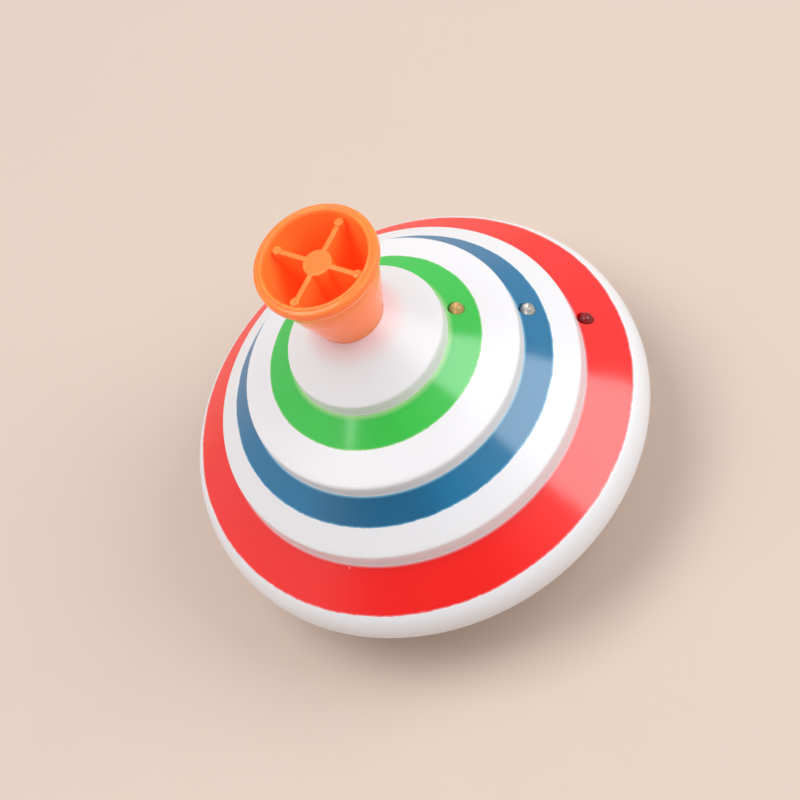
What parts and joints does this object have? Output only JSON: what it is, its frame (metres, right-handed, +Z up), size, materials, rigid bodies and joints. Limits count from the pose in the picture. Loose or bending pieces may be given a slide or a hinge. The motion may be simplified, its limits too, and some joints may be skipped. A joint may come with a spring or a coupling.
{
  "type": "spinning top",
  "caption": "Stepped cone spinning top in moulded plastic with a flared twist knob, a steel tip, and lamps, music board, cells and loudspeaker inside.",
  "frame": {"origin": "lowest point of the steel tip, on the spin axis", "axes": "+Z up along the spin axis; the line of lamps along +X; the battery door on -X"},
  "size_m": [0.09, 0.09, 0.0792],
  "materials": {
    "white_shell": "glossy moulded plastic with sprayed green, blue and red bands",
    "white_base": "glossy moulded plastic",
    "orange_knob": "glossy, slightly translucent moulded plastic",
    "steel_screw": "zinc plated",
    "polished_steel": "polished",
    "amber_lens": "clear tinted epoxy lens",
    "clear_lens": "clear epoxy lens",
    "red_lens": "clear dark red epoxy lens",
    "red_wire": "PVC sleeve",
    "green_wire": "PVC sleeve",
    "blue_wire": "PVC sleeve",
    "grey_wire": "PVC sleeve",
    "board_laminate": "lacquered laminate",
    "black_resin": "moulded resin",
    "tan_body": "lacquered body with colour rings",
    "blue_sleeve": "shrink sleeve",
    "brass_leaf": "rolled spring strip",
    "tinned_wire": "tinned",
    "speaker_steel": "pressed steel, dull",
    "magnet_grey": "nickel plated",
    "black_cone": "pressed paper",
    "cell_steel": "satin"
  },
  "bodies": {
    "top": {"upper_shell": "white_shell", "lower_shell": "white_base", "knob": "orange_knob", "knob_screw": "steel_screw", "lamp_inner": "amber_lens", "lamp_middle": "clear_lens", "lamp_outer": "red_lens", "lamp_wires_inner": "red_wire", "lamp_wires_middle": "green_wire", "lamp_wires_outer": "blue_wire", "circuit_board": "board_laminate", "board_screws": "steel_screw", "music_chip": "black_resin", "transistor": "black_resin", "resistor": "tan_body", "capacitor": "blue_sleeve", "switch_base": "black_resin", "switch_post": "tinned_wire", "speaker_basket": "speaker_steel", "speaker_magnet": "magnet_grey", "speaker_wires": "grey_wire", "cell_lower": "cell_steel", "cell_middle": "cell_steel", "cell_upper": "cell_steel", "negative_spring": "brass_leaf", "positive_strip": "brass_leaf", "power_wires": "red_wire", "housing_screws": "steel_screw", "spin_tip": "polished_steel"},
    "battery_door": {"battery_door": "white_base"},
    "door_screw_front": {"door_screw_front": "steel_screw"},
    "door_screw_rear": {"door_screw_rear": "steel_screw"},
    "switch_arm": {"switch_blade": "brass_leaf"},
    "speaker_cone": {"speaker_cone": "black_cone"}
  },
  "joints": [
    {"name": "battery_door_lift", "type": "slide", "parent": "top", "child": "battery_door", "axis": [0, 0, -1], "range_m": [0, 0.02]},
    {"name": "door_screw_front_turn", "type": "hinge", "parent": "battery_door", "child": "door_screw_front", "pos_m": [-0.018, -0.0106, 0.0124], "axis": [0, 0, -1], "continuous": true},
    {"name": "door_screw_rear_turn", "type": "hinge", "parent": "battery_door", "child": "door_screw_rear", "pos_m": [-0.018, 0.0106, 0.0124], "axis": [0, 0, -1], "continuous": true},
    {"name": "switch_swing", "type": "hinge", "parent": "top", "child": "switch_arm", "pos_m": [-0.004, -0.006, 0.0313], "axis": [0, 0, -1], "range_deg": [0, 10], "stiffness_Nm_per_rad": 0.0005},
    {"name": "cone_travel", "type": "slide", "parent": "top", "child": "speaker_cone", "axis": [0, 0, 1], "range_m": [-0.0003, 0.0003], "stiffness_N_per_m": 50}
  ]
}
